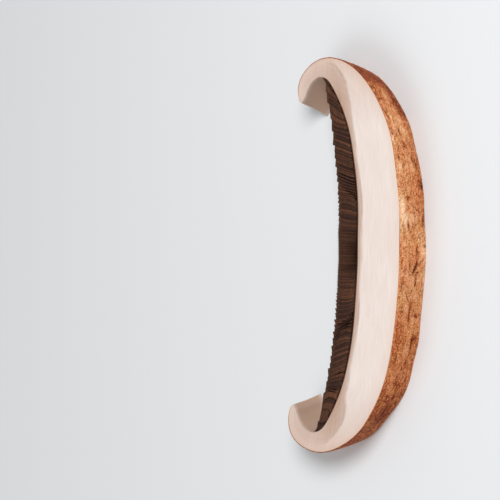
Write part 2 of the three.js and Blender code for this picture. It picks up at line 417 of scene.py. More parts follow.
# The skin: a band over the dome and round both margins, with the fibres, cracks and pits of its
# outside as relief. x and across are in millimetres, across is measured from the upper cut face.
skin = {
    "halfCount": 565,  # points of a row from the crown to a tip
    "rowStep": 0.22,
    "innerRows": 7,
    "edgeRound": 0.3,
    "edgeDrop": 0.25,
    "tipTaper": 9.0,  # the relief dies out over this way to the tip
    "swell": [(0.10, 7.0, 9, 0), (0.07, 3.6, -5, 1)],  # height, along, across, phase
    "warp": (1.6, 5),  # how far the patterns' places are pushed about, and size of that
    "fibreSwing": (2.6, 6),  # how far the fibres turn from place to place, and size
    "blotchSize": 18,
    "mottleSize": 4.5,
    "grainSize": 0.9,
    "gateSize": 7,  # of the areas with lines along the fibres, between those with curled ones
    "wrinkleStroke": (1.6, 4),  # width and length
    "fineStroke": (0.8, 1.4),
    "lineStroke": (1.7, 2.2),
    "lineWidth": 0.13,
    "curlSize": 2.0,
    "curlWidth": 0.055,
    "wrinkleRelief": 0.03,
    "strokeRelief": 0.02,
    "grainRelief": 0.015,
    "lineRelief": 0.05,
    "deepest": 0.2,  # no mark goes deeper into the skin
    "crackDepth": 0.6,  # share of that
    "crackShade": 0.10,  # how much darker the tone is round a crack
    "crackDarkness": 1.4,
    "lineDarkness": 0.7,
    "spotDarkness": 0.5,
    "meanTone": 0.56,
    "blotchTone": 0.24,
    "mottleTone": 0.14,
    "wrinkleTone": 0.02,
    "strokeTone": 0.03,
    "grainTone": 0.05,
    "rimTone": (-0.10, 0.5),  # painted sheen along the edge of the lower cut face, where the skin is seen at a grazing angle, and how far in
    "farRimTone": (0.10, 0.7),  # and of the lower one
    "endShadeTone": [(1, 34, 70, -0.16), (-1, 10, 62, -0.21)],  # side, from, to, change; painted shade, darker towards both ends
    "reddish": [(-1, 5, 55, 0.8), (1, 42, 64, 0.7)],  # side, from, to, share
    "marginWidth": 9,  # of the pale strip round each tip
    "pitCount": 130,
    "pitDarkness": 0.35,
    "browns": [  # place in the tone's range and colour
        (0.05, (110, 36, 0)), (0.28, (168, 92, 38)), (0.50, (208, 142, 92)),
        (0.72, (224, 169, 126)), (0.90, (237, 196, 156)), (1.00, (250, 220, 186)),
    ],
    "tints": [(255, 245, 246), (253, 252, 242)],  # the browns are multiplied by these in places
    "redTint": (251, 230, 212),
    "darkMark": (86, 20, 0),
    "cutEdge": (160, 108, 76),
    "paleMargin": [(190, 148, 112), (216, 184, 154)],
    "grain": (0.52, -0.25, 0.18),  # size, and the change of tone from its lows to its highs
    "fineGrain": (0.26, -0.14, 0.10),
    "fibreTone": (-0.06, 0.06),
    "fibreTurns": (24, -20),  # degrees from the band's length, in one place or another
    "web": (2.6, 0.040, 2.2, 2.4),  # cell size, line width, size and length of the push
    "markShare": 0.92,  # how far dark marks cover the browns
    "roughness": (0.55, 0.75),
    "shine": 0.15,
    "fibreBump": (0.18, 0.6),  # height and strength
    "poreBump": (0.03, 0.5),
    "poreSize": 0.2,
    "patches": [  # x, across, half length, half width, turn in degrees, change of tone
        (54, 12, 9, 4, 0, -0.24), (50, 1.5, 4, 3.5, 0, 0.12), (44.5, 5, 4, 4, 0, 0.16),
        (28, 5, 4, 6, 0, -0.08), (23, 12.5, 9, 3, 0, -0.21), (-5, 12.5, 10, 3.5, 0, 0.18),
        (-24, 1.5, 7, 4, 0, -0.17), (-28, 12, 4, 3, 0, -0.12), (-33, 6, 5, 4, 0, 0.06),
        (-42, 5, 6, 5, 0, 0.13), (-56, 7, 4, 3, 0, -0.18), (-58, 12.4, 6, 1.2, 0, 0.12),
        (66, 3, 4, 5, 0, -0.19), (62, 8, 3.5, 5, 0, -0.1), (57.5, 5, 3.5, 2.6, 0, 0.13),
        (53.5, 10, 3.2, 1.2, 8, -0.14), (51, 12, 2.2, 1, 0, -0.12), (47.5, 6, 3, 2.2, 10, 0.18),
        (43.5, 8.5, 3, 2, 0, 0.11), (40.8, 0.8, 1.2, 0.5, 0, 0.32), (38.5, 6.4, 2.2, 0.8, -27, -0.14),
        (33.7, 9.8, 2, 1.2, -15, -0.06), (31, 8, 1.4, 2.2, 0, 0.13),
        (31, 1.7, 1.6, 1, 0, 0.18), (33.6, 3.6, 1.8, 0.5, 0, -0.09),
        (24, 2.6, 2.6, 0.7, 0, -0.07), (22, 4.6, 1.6, 1.2, 0, 0.08), (20.6, 4.8, 0.9, 0.9, 0, -0.09),
        (17.5, 5.2, 2.2, 0.8, 0, -0.09), (16, 1.3, 4.8, 1.3, 0, 0.66), (13.7, 4.5, 1.5, 2.4, 0, 0.27),
        (13, 12.1, 2, 0.6, 8, -0.14), (11.2, 4, 1.6, 0.5, 0, -0.11), (4.5, 1.9, 2.6, 1, 0, 0.16),
        (2, 11, 2.2, 1.6, 0, 0.1), (-9, 11.2, 1.4, 0.8, 0, -0.1), (-8, 8, 2.2, 0.5, 0, -0.11),
        (-7, 5.5, 2.6, 1.6, 0, 0.08), (-13.5, 8.8, 1.6, 1.8, 0, 0.16), (-18, 4.8, 1.8, 1, 0, 0.11),
        (-19.5, 6.6, 4.2, 0.5, 2, -0.19), (-20.3, 10, 0.9, 1.2, 0, -0.12),
        (-28, 10.2, 1.4, 1.4, 0, -0.1), (-30, 9.2, 2.8, 0.5, 0, -0.19), (-31.3, 7.4, 2.2, 1.3, 0, 0.13),
        (-36.3, 8.4, 1.2, 0.6, 0, -0.12), (-38.2, 6.2, 1.4, 1.8, 0, -0.12),
        (-36.2, 2.2, 1.8, 0.9, 0, -0.1), (-42.5, 10.4, 1.6, 0.6, 0, -0.11),
        (-42.5, 5.4, 1.8, 0.7, 0, -0.09), (-46, 3.2, 1.8, 1, 0, 0.13), (-48.5, 7.6, 1.2, 0.7, 0, -0.14),
        (-48.5, 3.6, 1, 0.9, 0, -0.09), (-52.5, 9, 1.6, 1.2, 0, -0.12), (-53, 11.6, 1.6, 0.7, 0, -0.14),
        (-53.6, 6.8, 1.6, 0.6, 0, -0.15),
    ],
    "cracks": [  # x, across, half length, half width, turn in degrees, darkness
        (55, 9.9, 0.75, 0.43, 20, 0.8), (53.3, 8, 0.44, 0.37, 0, 0.6), (49.7, 1, 1.12, 0.31, -15, 0.85),
        (48.2, 1.7, 0.5, 0.37, 0, 0.6), (54.9, 1.4, 1, 0.34, 85, 0.7), (44.3, 5.1, 0.75, 0.2, 35, 0.7),
        (42.9, 5, 1, 0.2, -20, 0.8), (42.8, 1, 0.62, 0.31, 0, 0.6), (42.5, 3.3, 0.5, 0.25, 0, 0.5),
        (40.8, 1.6, 0.38, 0.31, 0, 0.5), (39.4, 6.2, 0.88, 0.37, -27, 0.6),
        (34.4, 8.9, 0.62, 0.34, 0, 0.7), (33.6, 9.3, 0.5, 0.31, 0, 0.6),
        (32.7, 10.6, 1.12, 0.43, -15, 0.5), (34.2, 1.9, 1.12, 0.31, -5, 0.6),
        (24.4, 12, 0.75, 0.49, 0, 0.7), (26.6, 10.9, 0.31, 0.31, 0, 0.6),
        (25.8, 5.2, 0.38, 0.31, 0, 0.5), (20.9, 4.6, 0.31, 0.98, 0, 0.55),
        (17, 8.7, 1.62, 0.2, -54, 0.8), (19, 9.6, 1.25, 0.18, -50, 0.4), (13.2, 12.1, 2, 0.37, 12, 0.7),
        (10.8, 1.65, 2.38, 0.18, 0, 0.6), (11.2, 4.1, 1.75, 0.25, 0, 0.55),
        (10.9, 6, 0.38, 0.31, 0, 0.45), (7.5, 9.5, 0.5, 0.31, 0, 0.55), (4, 12.4, 0.38, 0.49, 0, 0.7),
        (2.3, 8.3, 2, 0.22, 0, 0.6), (-1.4, 10.6, 2.12, 0.2, 52, 0.5), (-2, 8.4, 1.5, 0.27, 8, 0.7),
        (-3.9, 7.3, 2.1, 0.5, 31, 1), (-4.95, 9, 0.62, 0.34, 80, 0.9), (-2.7, 9.9, 0.5, 0.27, 0, 0.7),
        (-2.8, 4.9, 1.25, 0.31, -5, 0.55), (-1, 4.2, 0.5, 0.25, 0, 0.5), (-5.8, 5, 0.5, 0.27, 60, 0.7),
        (-7.4, 8.05, 1.75, 0.22, 0, 0.45), (-9.1, 8.1, 0.62, 0.34, 20, 0.8),
        (-11.6, 6.4, 1.38, 0.2, 25, 0.7), (-14, 4.7, 1.56, 0.21, -28, 0.7),
        (-18.2, 8.6, 1, 0.31, 0, 0.6), (-20.3, 10.3, 0.44, 0.61, 0, 0.7),
        (-19.8, 9.6, 0.38, 0.31, 0, 0.6), (-18.6, 6.5, 2, 0.25, 2, 0.75),
        (-21.5, 6.8, 1.5, 0.25, -5, 0.65), (-9.8, 1.2, 1.62, 0.27, 0, 0.75),
        (-18.7, 2.8, 0.31, 0.74, 0, 0.65), (-16.8, 2.4, 0.62, 0.31, 0, 0.5),
        (-28.2, 10.4, 0.44, 0.86, 0, 0.6), (-30, 9.3, 2.5, 0.27, 0, 0.8), (-36.3, 8.4, 1, 0.25, 0, 0.7),
        (-38.5, 7, 0.75, 0.31, 0, 0.55), (-42.6, 10.4, 1.12, 0.27, 0, 0.55),
        (-41.3, 5.1, 0.5, 0.31, 0, 0.6), (-43.3, 5.5, 0.5, 0.31, 0, 0.6),
        (-48.3, 7.5, 0.56, 0.34, 0, 0.9), (-49.1, 7.6, 0.5, 0.31, 0, 0.8),
        (-50.5, 10.3, 0.5, 0.43, 0, 0.9), (-48.6, 3.7, 0.62, 0.37, 0, 0.55),
        (-53.6, 6.9, 1.25, 0.31, 0, 0.9), (-55.5, 4.5, 1.88, 0.25, 5, 0.65), (-57, 8, 2, 0.25, 5, 0.65),
    ],
}


# How strongly a turned gaussian mark covers each point of the band: e to the power of -u^2 - v^2,
# with u and v the ways along and across the mark as shares of its half length and half width.
def mark(x, across, at, acrossAt, halfLength, halfWidth, turn):
    along, over = x - at, across - acrossAt
    cosine, sine = math.cos(math.radians(turn)), math.sin(math.radians(turn))
    u = (along * cosine + over * sine) / halfLength
    v = (over * cosine - along * sine) / halfWidth
    return np.exp(-(u**2) - v**2)


# Gradient noise averaged along short strokes in the given direction, as wide and long as asked in
# millimetres, less at their ends. The result has a spread of one.
def strokes(along, over, direction, size, seed):
    width, length = size
    total = np.zeros_like(along)
    for step in np.linspace(-1, 1, 9):
        shift = step * length / 2
        spot = [along + shift * np.cos(direction), over + shift * np.sin(direction), 0 * along]
        total += (1 - 0.6 * step**2) * gradientNoise(np.stack(spot, axis=-1) / width, seed)
    return total / total.std()


# The chosen cracks and a number of random pits that point outwards from the cap's middle, give or
# take: x, across, half length, half width, turn and darkness.
def allCracks():
    rng = np.random.default_rng(41)
    cracks = list(skin["cracks"])
    for _ in range(skin["pitCount"]):
        at, acrossAt = rng.uniform(-68, 68), rng.uniform(0.3, 12.9)
        outward = math.degrees(math.atan2(acrossAt + cap["nearReach"], abs(at)))
        outward = outward * math.copysign(1, at)
        halfLength, halfWidth = rng.uniform(0.3, 1.2), rng.uniform(0.18, 0.34)
        turn = outward * rng.uniform(-1, 2)
        cracks.append((at, acrossAt, halfLength, halfWidth, turn, skin["pitDarkness"]))
    return cracks


# Relief in millimetres, tone and dark specks at each point of the band. Blotches, mottling and
# grain are layered noises of places that another noise pushes about, wrinkles and fine fibres are
# strokes, and patches, cracks and pits are gaussians. The depth of lines, cracks and pits together
# levels off as a hyperbolic tangent.
def skinPattern(x, height, reach, along):
    over = reach - cap["nearReach"]
    spot = np.stack([x, height, reach], axis=-1)
    most, size = skin["warp"]
    warp = np.stack([gradientNoise(spot / size, seed) for seed in (11, 12, 13)], axis=-1)
    warped = spot + most * warp + 0.5 * warp[..., ::-1] * layeredNoise(spot, 2, 2, 14)[..., None]
    blotches = layeredNoise(warped, skin["blotchSize"], 3, 31)
    mottle = layeredNoise(warped * [0.7, 1, 1.25], skin["mottleSize"], 3, 32)
    gate = layeredNoise(spot, skin["gateSize"], 2, 33)
    grain = layeredNoise(warped, skin["grainSize"], 2, 23)
    grain = grain / grain.std()

    # The fibres swing to both sides of the slice's length, and fan out a little towards the ends.
    direction = 0.5 * np.arctan2(reach, np.abs(x)) * np.sign(x) * smoothStep(np.abs(x), 12, 45)
    most, size = skin["fibreSwing"]
    direction = direction + most * layeredNoise(spot, size, 2, 35)
    wrinkles = strokes(along, over, direction, skin["wrinkleStroke"], 21)
    fine = strokes(along, over, direction, skin["fineStroke"], 22)

    # Fine dark lines where the skin has parted, only here and there: along the fibres, and curled.
    # Each is a gaussian of a noise's distance from zero.
    alongLines = strokes(along, over, direction, skin["lineStroke"], 24) / skin["lineWidth"]
    curledLines = gradientNoise(warped / skin["curlSize"], 25) / skin["curlWidth"]
    lines = np.exp(-(alongLines**2)) * (0.25 + 0.55 * smoothStep(gate, -0.1, 0.3))
    lines += np.exp(-(curledLines**2)) * (0.25 + 0.75 * smoothStep(-gate, 0, 0.35))
    lines = np.clip(lines * smoothStep(0.35 * grain + mottle, -0.6, 0.3), 0, 1)

    relief = np.zeros_like(x)
    for size, length, overLength, phase in skin["swell"]:
        relief += size * np.sin(x / length + reach / overLength + phase)
    relief += skin["wrinkleRelief"] * wrinkles + skin["strokeRelief"] * fine
    marks = skin["lineRelief"] * lines - skin["grainRelief"] * grain

    tone = skin["meanTone"] + skin["blotchTone"] * blotches + skin["mottleTone"] * mottle
    ends = smoothStep(np.abs(x), 36, 58)
    tone += skin["wrinkleTone"] * (1 + 1.5 * ends) * wrinkles
    tone += skin["strokeTone"] * (1 + ends) * fine + skin["grainTone"] * grain
    # A darker line along the upper cut edge, and painted sheen along the lower one.
    rims = ((skin["rimTone"], over), (skin["farRimTone"], over.max() - over))
    for (change, width), fromEdge in rims:
        tone += change * np.exp(-fromEdge / width)
    # Painted shade: the tone drops towards both ends.
    for side, low, high, change in skin["endShadeTone"]:
        tone += change * smoothStep(side * x, low, high)
    ragged = 1.12 + 0.6 * mottle + 0.1 * wrinkles
    for at, acrossAt, halfLength, halfWidth, angle, change in skin["patches"]:
        tone += change * ragged * mark(x, over, at, acrossAt, halfLength, halfWidth, angle)

    speck = skin["lineDarkness"] * lines
    spots = smoothStep(layeredNoise(warped, 1.0, 2, 34), 0.34, 0.62)
    speck += skin["spotDarkness"] * spots * smoothStep(gate, -0.3, 0.3)
    bentX = x + 0.35 * warp[..., 2] + 0.06 * grain
    bentAcross = over + 0.10 * wrinkles + 0.35 * warp[..., 1] + 0.05 * grain
    for at, acrossAt, halfLength, halfWidth, angle, darkness in allCracks():
        dent = mark(bentX, bentAcross, at, acrossAt, halfLength, halfWidth, angle)
        marks += skin["crackDepth"] * skin["deepest"] * darkness * dent
        speck += skin["crackDarkness"] * darkness * dent
        shade = mark(bentX, bentAcross, at, acrossAt, 1.5 * halfLength, 2.5 * halfWidth, angle)
        tone -= skin["crackShade"] * darkness * shade
    relief -= skin["deepest"] * np.tanh(marks / skin["deepest"])
    return relief, tone, speck


# Loops across the band: the cap's outline at each reach, moved outwards by the relief and rounded
# by quarter ellipses at both edges, then back along its inside. One loop for each step along the
# slice.
def makeSkin():
    uniform = np.arange(skin["edgeRound"], sliceThickness, skin["rowStep"])
    uniform = uniform[uniform < sliceThickness - skin["edgeRound"]]
    rim = skin["edgeRound"] * np.array([0, 0.08, 0.25, 0.55])
    across = np.concatenate([rim, uniform, (sliceThickness - rim)[::-1]])
    sections = [section(outline, reach, skin["halfCount"]) for reach in cap["nearReach"] + across]
    sections = np.stack(sections, axis=1)
    x, height, way = sections[..., 0], sections[..., 1], sections[..., 2]
    reach = np.broadcast_to(cap["nearReach"] + across, x.shape)
    over = reach - cap["nearReach"]
    toTip = outline[-1, 2] - way
    along = way * np.sign(x)  # from the crown, on the unrolled band
    relief, tone, speck = skinPattern(x, height, reach, along)
    print("skin pattern ready")

    rounding = np.minimum(1, np.minimum(over, over.max() - over) / skin["edgeRound"])
    drop = skin["edgeDrop"] * (1 - np.sqrt(1 - (1 - rounding) ** 2))
    relief = relief * smoothStep(toTip, 0, skin["tipTaper"]) - drop
    outer = sections.copy()
    for column in range(sections.shape[1]):
        outer[:, column] = moved(sections[:, column], relief[:, column])

    innerReaches = np.linspace(cap["farReach"], cap["nearReach"], skin["innerRows"])
    innerRows = []
    for innerReach in innerReaches:
        row = section(outline, innerReach, skin["halfCount"])
        innerRows.append(moved(row, -skinThicknessAt(toTip[:, 0])))
    inner = np.stack(innerRows, axis=1)

    # Loops: outside from the upper face to the lower, the lower cut edge, inside, the upper edge.
    outerSpot = np.concatenate([outer[..., :2], reach[..., None]], axis=-1)
    innerReach = np.broadcast_to(innerReaches, inner.shape[:2])[..., None]
    innerSpot = np.concatenate([inner[..., :2], innerReach], axis=-1)
    shares = np.array([0.33, 0.66])[:, None]
    lowerEdge = outerSpot[:, -1:] * (1 - shares) + innerSpot[:, :1] * shares
    upperEdge = innerSpot[:, -1:] * (1 - shares) + outerSpot[:, :1] * shares
    grid = np.concatenate([outerSpot, lowerEdge, innerSpot, upperEdge], axis=1)

    # The outside's values, and another one for the rest of each loop.
    def spread(values, rest):
        full = np.full(grid.shape[:2], float(rest))
        full[:, : values.shape[1]] = values
        return full

    cut = np.ones(grid.shape[1])
    cut[: outer.shape[1]] = 0
    cut[[0, outer.shape[1] - 1]] = 0.6
    margin = 1 - smoothStep(toTip[:, :1], 0, skin["marginWidth"])
    reddish = np.zeros_like(x)
    for side, low, high, share in skin["reddish"]:
        reddish += share * smoothStep(side * x, low, high)
    values = {
        "tone": np.clip(spread(tone, 0.75), 0, 1),
        "red": np.clip(spread(reddish, 0), 0, 1),
        "speck": np.clip(spread(speck, 0), 0, 1),
        "cut": np.broadcast_to(cut, grid.shape[:2]).copy(),
        "margin": np.broadcast_to(margin, grid.shape[:2]).copy(),
        "along": spread(along, 0),
        "across": spread(over, 0),
    }
    solid = placed(grid[..., 0], grid[..., 1], grid[..., 2])
    points, faces, values = closedTube(solid, values)
    return addPiece("capSkin", points, faces, values, "cap_skin", skinFinish())


# A ramp of browns over the tone, to which fine grain and slanting fibres are added. It is reddened
# in places, dark in the specks and cracks, and pale at the cut edge and round the margin.
def skinFinish():
    finish = Finish("mushroom skin")
    band = {"X": finish.attribute("along"), "Y": finish.attribute("across")}
    band = finish.node("ShaderNodeCombineXYZ", band).outputs[0]

    # Fibres that slant to one side or the other of the band's length.
    def slanted(angle):
        sockets = {"Vector": band, "Rotation": (0, 0, math.radians(angle))}
        turned = finish.node("ShaderNodeMapping", sockets).outputs[0]
        sockets = {"Vector": turned, "Scale": (0.5, 1.5, 1)}
        stretched = finish.node("ShaderNodeMapping", sockets).outputs[0]
        noise = {"Vector": stretched, "Scale": 1.0, "Detail": 2.0, "Distortion": 1.2}
        return finish.node("ShaderNodeTexNoise", noise).outputs["Fac"]

    side = finish.span(finish.noise(5.0, 1.0), 0.45, 0.55)
    fibre = finish.mix(side, *(slanted(angle) for angle in skin["fibreTurns"]))
    size, *grainTone = skin["grain"]
    grain = finish.noise(size, 3.0, 0.65)
    fineSize, *fineTone = skin["fineGrain"]
    tone = finish.attribute("tone")
    tone = finish.math("ADD", tone, finish.span(grain, 0.33, 0.67, *grainTone))
    tone = finish.math("ADD", tone, finish.span(finish.noise(fineSize, 1.0), 0.3, 0.7, *fineTone))
    tone = finish.math("ADD", tone, finish.span(fibre, 0.3, 0.7, *skin["fibreTone"]))
    colour = finish.ramp(tone, [(place, linear(brown)) for place, brown in skin["browns"]])

    breaks = finish.span(finish.noise(1.1, 2.0), 0.42, 0.52)
    short = finish.cracks(*skin["web"])
    short = finish.math("MULTIPLY", short, finish.span(finish.noise(2.6, 2.0), 0.54, 0.62))
    lines = finish.math("MULTIPLY", short, breaks)
    dark = finish.math("MAXIMUM", finish.attribute("speck"), finish.math("MULTIPLY", lines, 0.6))
    tint = finish.span(finish.noise(5.0, 3.0), 0.36, 0.64)
    tint = finish.mix(tint, *(linear(each) for each in skin["tints"]))
    colour = finish.mix(1.0, colour, tint, "MULTIPLY")
    redder = finish.span(finish.noise(8.0, 2.0), 0.46, 0.62, 0, 0.45)
    redder = finish.math("MAXIMUM", redder, finish.attribute("red"))
    reddened = finish.mix(1.0, colour, linear(skin["redTint"]), "MULTIPLY")
    colour = finish.mix(redder, colour, reddened)
    dark = finish.math("MULTIPLY", dark, skin["markShare"])
    colour = finish.mix(dark, colour, linear(skin["darkMark"]))
    colour = finish.mix(finish.attribute("cut"), colour, linear(skin["cutEdge"]))
    ragged = finish.span(fibre, 0.3, 0.7, -0.28, 0.28)
    ragged = finish.math("ADD", finish.attribute("margin"), ragged)
    pale = finish.span(grain, 0.35, 0.65)
    pale = finish.mix(pale, *(linear(each) for each in skin["paleMargin"]))
    colour = finish.mix(finish.span(ragged, 0.25, 0.95), colour, pale)

    height = finish.mix(0.5, grain, fibre)
    height = finish.math("SUBTRACT", height, finish.math("MULTIPLY", lines, 0.6))
    normal = finish.bump(height, *skin["fibreBump"])
    finish.surface({
        "Base Color": colour,
        "Roughness": finish.span(finish.noise(1.6, 3.0), 0.35, 0.65, *skin["roughness"]),
        "Specular IOR Level": skin["shine"],
        "Normal": finish.bump(finish.noise(skin["poreSize"], 2.0), *skin["poreBump"], normal),
    })
    return finish.material


# The flesh: both cut faces, its hidden side under the skin and its underside above the gills.
flesh = {
    "halfCount": 330,
    "faceCount": 62,  # points across a cut face
    "crowding": 0.6,  # how much closer together they are at its edges
    "rows": 9,  # from one cut face to the other
    "unevenness": 0.05,  # of the cut faces, downwards only
    "deepest": 1.0,  # no point of them is sunk by more
    "edgeRound": 0.18,
    "strandSize": (14, 0.9),  # along and across, of the streaks that follow the band
    "threadSize": (9, 0.55),  # of those that run straight along the slice
    "cloudSize": (16, 6),
    "innerZone": 1.9,  # the beige flesh next to the gills, in the middle of the slice
    "innerZoneAtMargin": 7.5,
    "innerZoneFrom": 40.0,  # it widens from here to the margin
    "innerZoneTo": 62.0,
    "innerZoneShare": 0.72,  # of the flesh's width, at the most
    "creaseLineWidth": 0.5,  # the greyish line between it and the white flesh: partly painted shade of a crease, partly a darker line of the flesh's own
    "curlFrom": 34.0,  # both fade over this way from the tip, round the margin
    "curlTo": 16.0,
    "rimWidths": (0.35, 2.6),  # the warm line beside the skin, and the tint beside that
    "endShade": (42, 70),  # painted shade: the flesh is drawn a little darker from here to here
    "whites": [(220, 206, 199), (229, 219, 213)],
    "streak": (206, 187, 175),
    "streakShare": 0.55,
    "beiges": [(166, 134, 114), (188, 158, 138)],
    "creaseLine": (150, 124, 108),
    # the crease line's grey: partly painted shade of a crease, partly the flesh's own darker line
    "rim": (206, 168, 138),
    # the colour that darkens the flesh for the painted shade at its ends
    "endShadeTint": (240, 230, 224),
    "covers": [("creaseLine", 0.65), ("rim", 0.4)],  # how far each covers the colours below
    "roughness": 0.6,
    "shine": 0.35,
    "glow": 0.15,  # share of the light that passes under the surface
    "glowDepth": 0.8,
    "glowShares": (1.0, 0.7, 0.5),  # of that depth, for red, green and blue
    "bump": (0.05, 0.5),  # height and strength
    "bumpSize": 0.35,
}


# A cut face between its outer and inner edge, as rows from the skin to the gills, closer together
# at both: its places, how far it is sunk below the plane of cut, and the values that colour it.
# The edges are rounded by quarter circles. Streaks and clouds are noises stretched along the slice.
# The beige zone beside the gills and the greyish crease line along it, which is partly painted
# shade, follow the distance from the gills, and the warm rim fades with that from the skin, as an
# exponential and a gaussian.
def cutFace(outerEdge, innerEdge, seed):
    share = (1 - np.cos(np.linspace(0, math.pi, flesh["faceCount"]))) / 2
    crowding = flesh["crowding"]
    share = crowding * share + (1 - crowding) * np.linspace(0, 1, flesh["faceCount"])
    start, end = outerEdge[:, None], innerEdge[:, None]
    flat = start + (end - start) * share[:, None]
    width = np.linalg.norm(end - start, axis=-1)
    way = wayAlong((start + end)[:, 0] / 2)
    along = np.broadcast_to(way[:, None], flat.shape[:2])
    fromSkin = share * width
    toGills = (1 - share) * width

    level = np.full_like(along, 10.0 * seed)
    spot = np.stack([along, fromSkin, level], axis=-1)
    straight = np.stack([flat[..., 0] + 0.12 * flat[..., 1], flat[..., 1], level], axis=-1)
    patterns = []
    for places, size, layers, step in (
        (spot, flesh["strandSize"], 3, 0),
        (straight, flesh["threadSize"], 2, 5),
        (spot, flesh["cloudSize"], 3, 8),
    ):
        stretch = [1 / size[0], 1 / size[1], 1]
        patterns.append(layeredNoise(places * stretch, 1, layers, seed + step))
    strands, threads, clouds = patterns

    edge = np.minimum(1, np.minimum(fromSkin, toGills) / flesh["edgeRound"])
    sink = flesh["edgeRound"] * (1 - np.sqrt(1 - (1 - edge) ** 2))
    sink = sink + flesh["unevenness"] * (0.5 + 0.3 * strands + 0.35 * threads + 0.3 * clouds)

    fromMiddle = np.abs(flat[..., 0])
    wide = smoothStep(fromMiddle, flesh["innerZoneFrom"], flesh["innerZoneTo"])
    zone = flesh["innerZone"] + (flesh["innerZoneAtMargin"] - flesh["innerZone"]) * wide
    zone = np.minimum(zone, flesh["innerZoneShare"] * width) * (1 + 0.22 * clouds)
    half = way[-1] / 2
    curl = smoothStep(np.abs(along - half), half - flesh["curlFrom"], half - flesh["curlTo"])
    innerShare = smoothStep(zone - toGills, -0.5 - 2 * curl, 0.7 + 2 * curl)
    innerShare = innerShare * (1 - 0.45 * np.clip(toGills / zone, 0, 1)) * (1 - 0.6 * curl)
    # The crease line: partly painted shade of a crease, partly the flesh's own darker line above the
    # gills.
    creaseLine = np.exp(-(((toGills - zone) / flesh["creaseLineWidth"]) ** 2)) * (1 - curl)
    creaseLine = creaseLine * smoothStep(clouds + 0.6 * strands, -0.45, 0.5)
    line, tint = flesh["rimWidths"]
    return flat, sink, {
        "inner": innerShare,
        "strand": 0.5 + 0.3 * strands + 0.45 * threads,
        "cloud": 0.5 + 0.5 * clouds,
        "creaseLine": creaseLine,
        "rim": 0.5 * np.exp(-fromSkin / line) + 0.5 * np.exp(-((fromSkin / tint) ** 2)),
        # how far the painted shade at the ends covers the face
        "end": smoothStep(fromMiddle, *flesh["endShade"]),
    }


# Loops round the flesh: the upper cut face from the skin to the gills, the underside, the lower
# face back, and the side under the skin. One loop for each step along the slice.
def makeFlesh():
    reaches = np.linspace(cap["nearReach"], cap["farReach"], flesh["rows"])
    count = flesh["halfCount"]
    tipWay = outline[-1, 2]
    outers, inners = [], []
    for reach in reaches:
        row = section(outline, reach, count)
        outers.append(moved(row, -skinThicknessAt(tipWay - row[:, 2]))[:, :2])
        inners.append(section(underside, reach, count)[:, :2])
    outer, inner = np.stack(outers, axis=1), np.stack(inners, axis=1)

    upper, upperSink, upperValues = cutFace(outer[:, 0], inner[:, 0], 51)
    lower, lowerSink, lowerValues = cutFace(outer[:, -1], inner[:, -1], 61)
    near = np.minimum(cap["nearReach"] + upperSink, cap["nearReach"] + flesh["deepest"])
    far = cap["farReach"] - np.clip(lowerSink, 0, flesh["deepest"])
    upperSpot = np.concatenate([upper, near[..., None]], axis=-1)
    lowerSpot = np.concatenate([lower, far[..., None]], axis=-1)
    between = np.broadcast_to(reaches[1:-1], outer[:, 1:-1].shape[:2])[..., None]
    innerSpot = np.concatenate([inner[:, 1:-1], between], axis=-1)
    outerSpot = np.concatenate([outer[:, 1:-1], between], axis=-1)
    grid = np.concatenate([upperSpot, innerSpot, lowerSpot[:, ::-1], outerSpot[:, ::-1]], axis=1)

    # Between the cut faces each value is a constant, and the underside is beige all over.
    hidden = innerSpot.shape[1]
    constants = {"inner": 1, "strand": 0.5, "cloud": 0.5, "creaseLine": 0, "rim": 0, "end": 0}
    values = {}
    for name, rest in constants.items():
        full = np.full((grid.shape[0], hidden), float(rest))
        outerRest = np.zeros_like(full) if name == "inner" else full
        values[name] = np.concatenate(
            [upperValues[name], full, lowerValues[name][:, ::-1], outerRest], axis=1
        )
    solid = placed(grid[..., 0], grid[..., 1], grid[..., 2])
    points, faces, values = closedTube(solid, values)
    return addPiece("capFlesh", points, faces, values, "cap_flesh", fleshFinish())


# White with faint streaks and clouds, beige beside the gills with a greyish crease line along it that
# is partly painted shade, warm beside the skin, and with painted shade at the ends. Some light passes
# under the surface.
def fleshFinish():
    finish = Finish("mushroom flesh")
    strand = finish.span(finish.attribute("strand"), 0.15, 0.85)
    white = finish.mix(finish.attribute("cloud"), *(linear(each) for each in flesh["whites"]))
    streak = finish.mix(flesh["streakShare"], white, linear(flesh["streak"]))
    beige = finish.mix(strand, *(linear(each) for each in flesh["beiges"]))
    colour = finish.mix(finish.attribute("inner"), finish.mix(strand, streak, white), beige)
    for name, share in flesh["covers"]:
        covered = finish.math("MULTIPLY", finish.attribute(name), share)
        colour = finish.mix(covered, colour, linear(flesh[name]))
    # Painted shade towards the ends: the flesh's colour multiplied by a darker tint.
    darker = finish.mix(1.0, colour, linear(flesh["endShadeTint"]), "MULTIPLY")
    finish.surface({
        "Base Color": finish.mix(finish.attribute("end"), colour, darker),
        "Roughness": flesh["roughness"],
        "Specular IOR Level": flesh["shine"],
        "Subsurface Weight": flesh["glow"],
        "Subsurface Radius": flesh["glowShares"],
        "Subsurface Scale": flesh["glowDepth"] * mm,
        "Normal": finish.bump(
            finish.noise(flesh["bumpSize"], 3.0, stretch=(0.25, 1, 1)), *flesh["bump"]
        ),
    })
    return finish.material


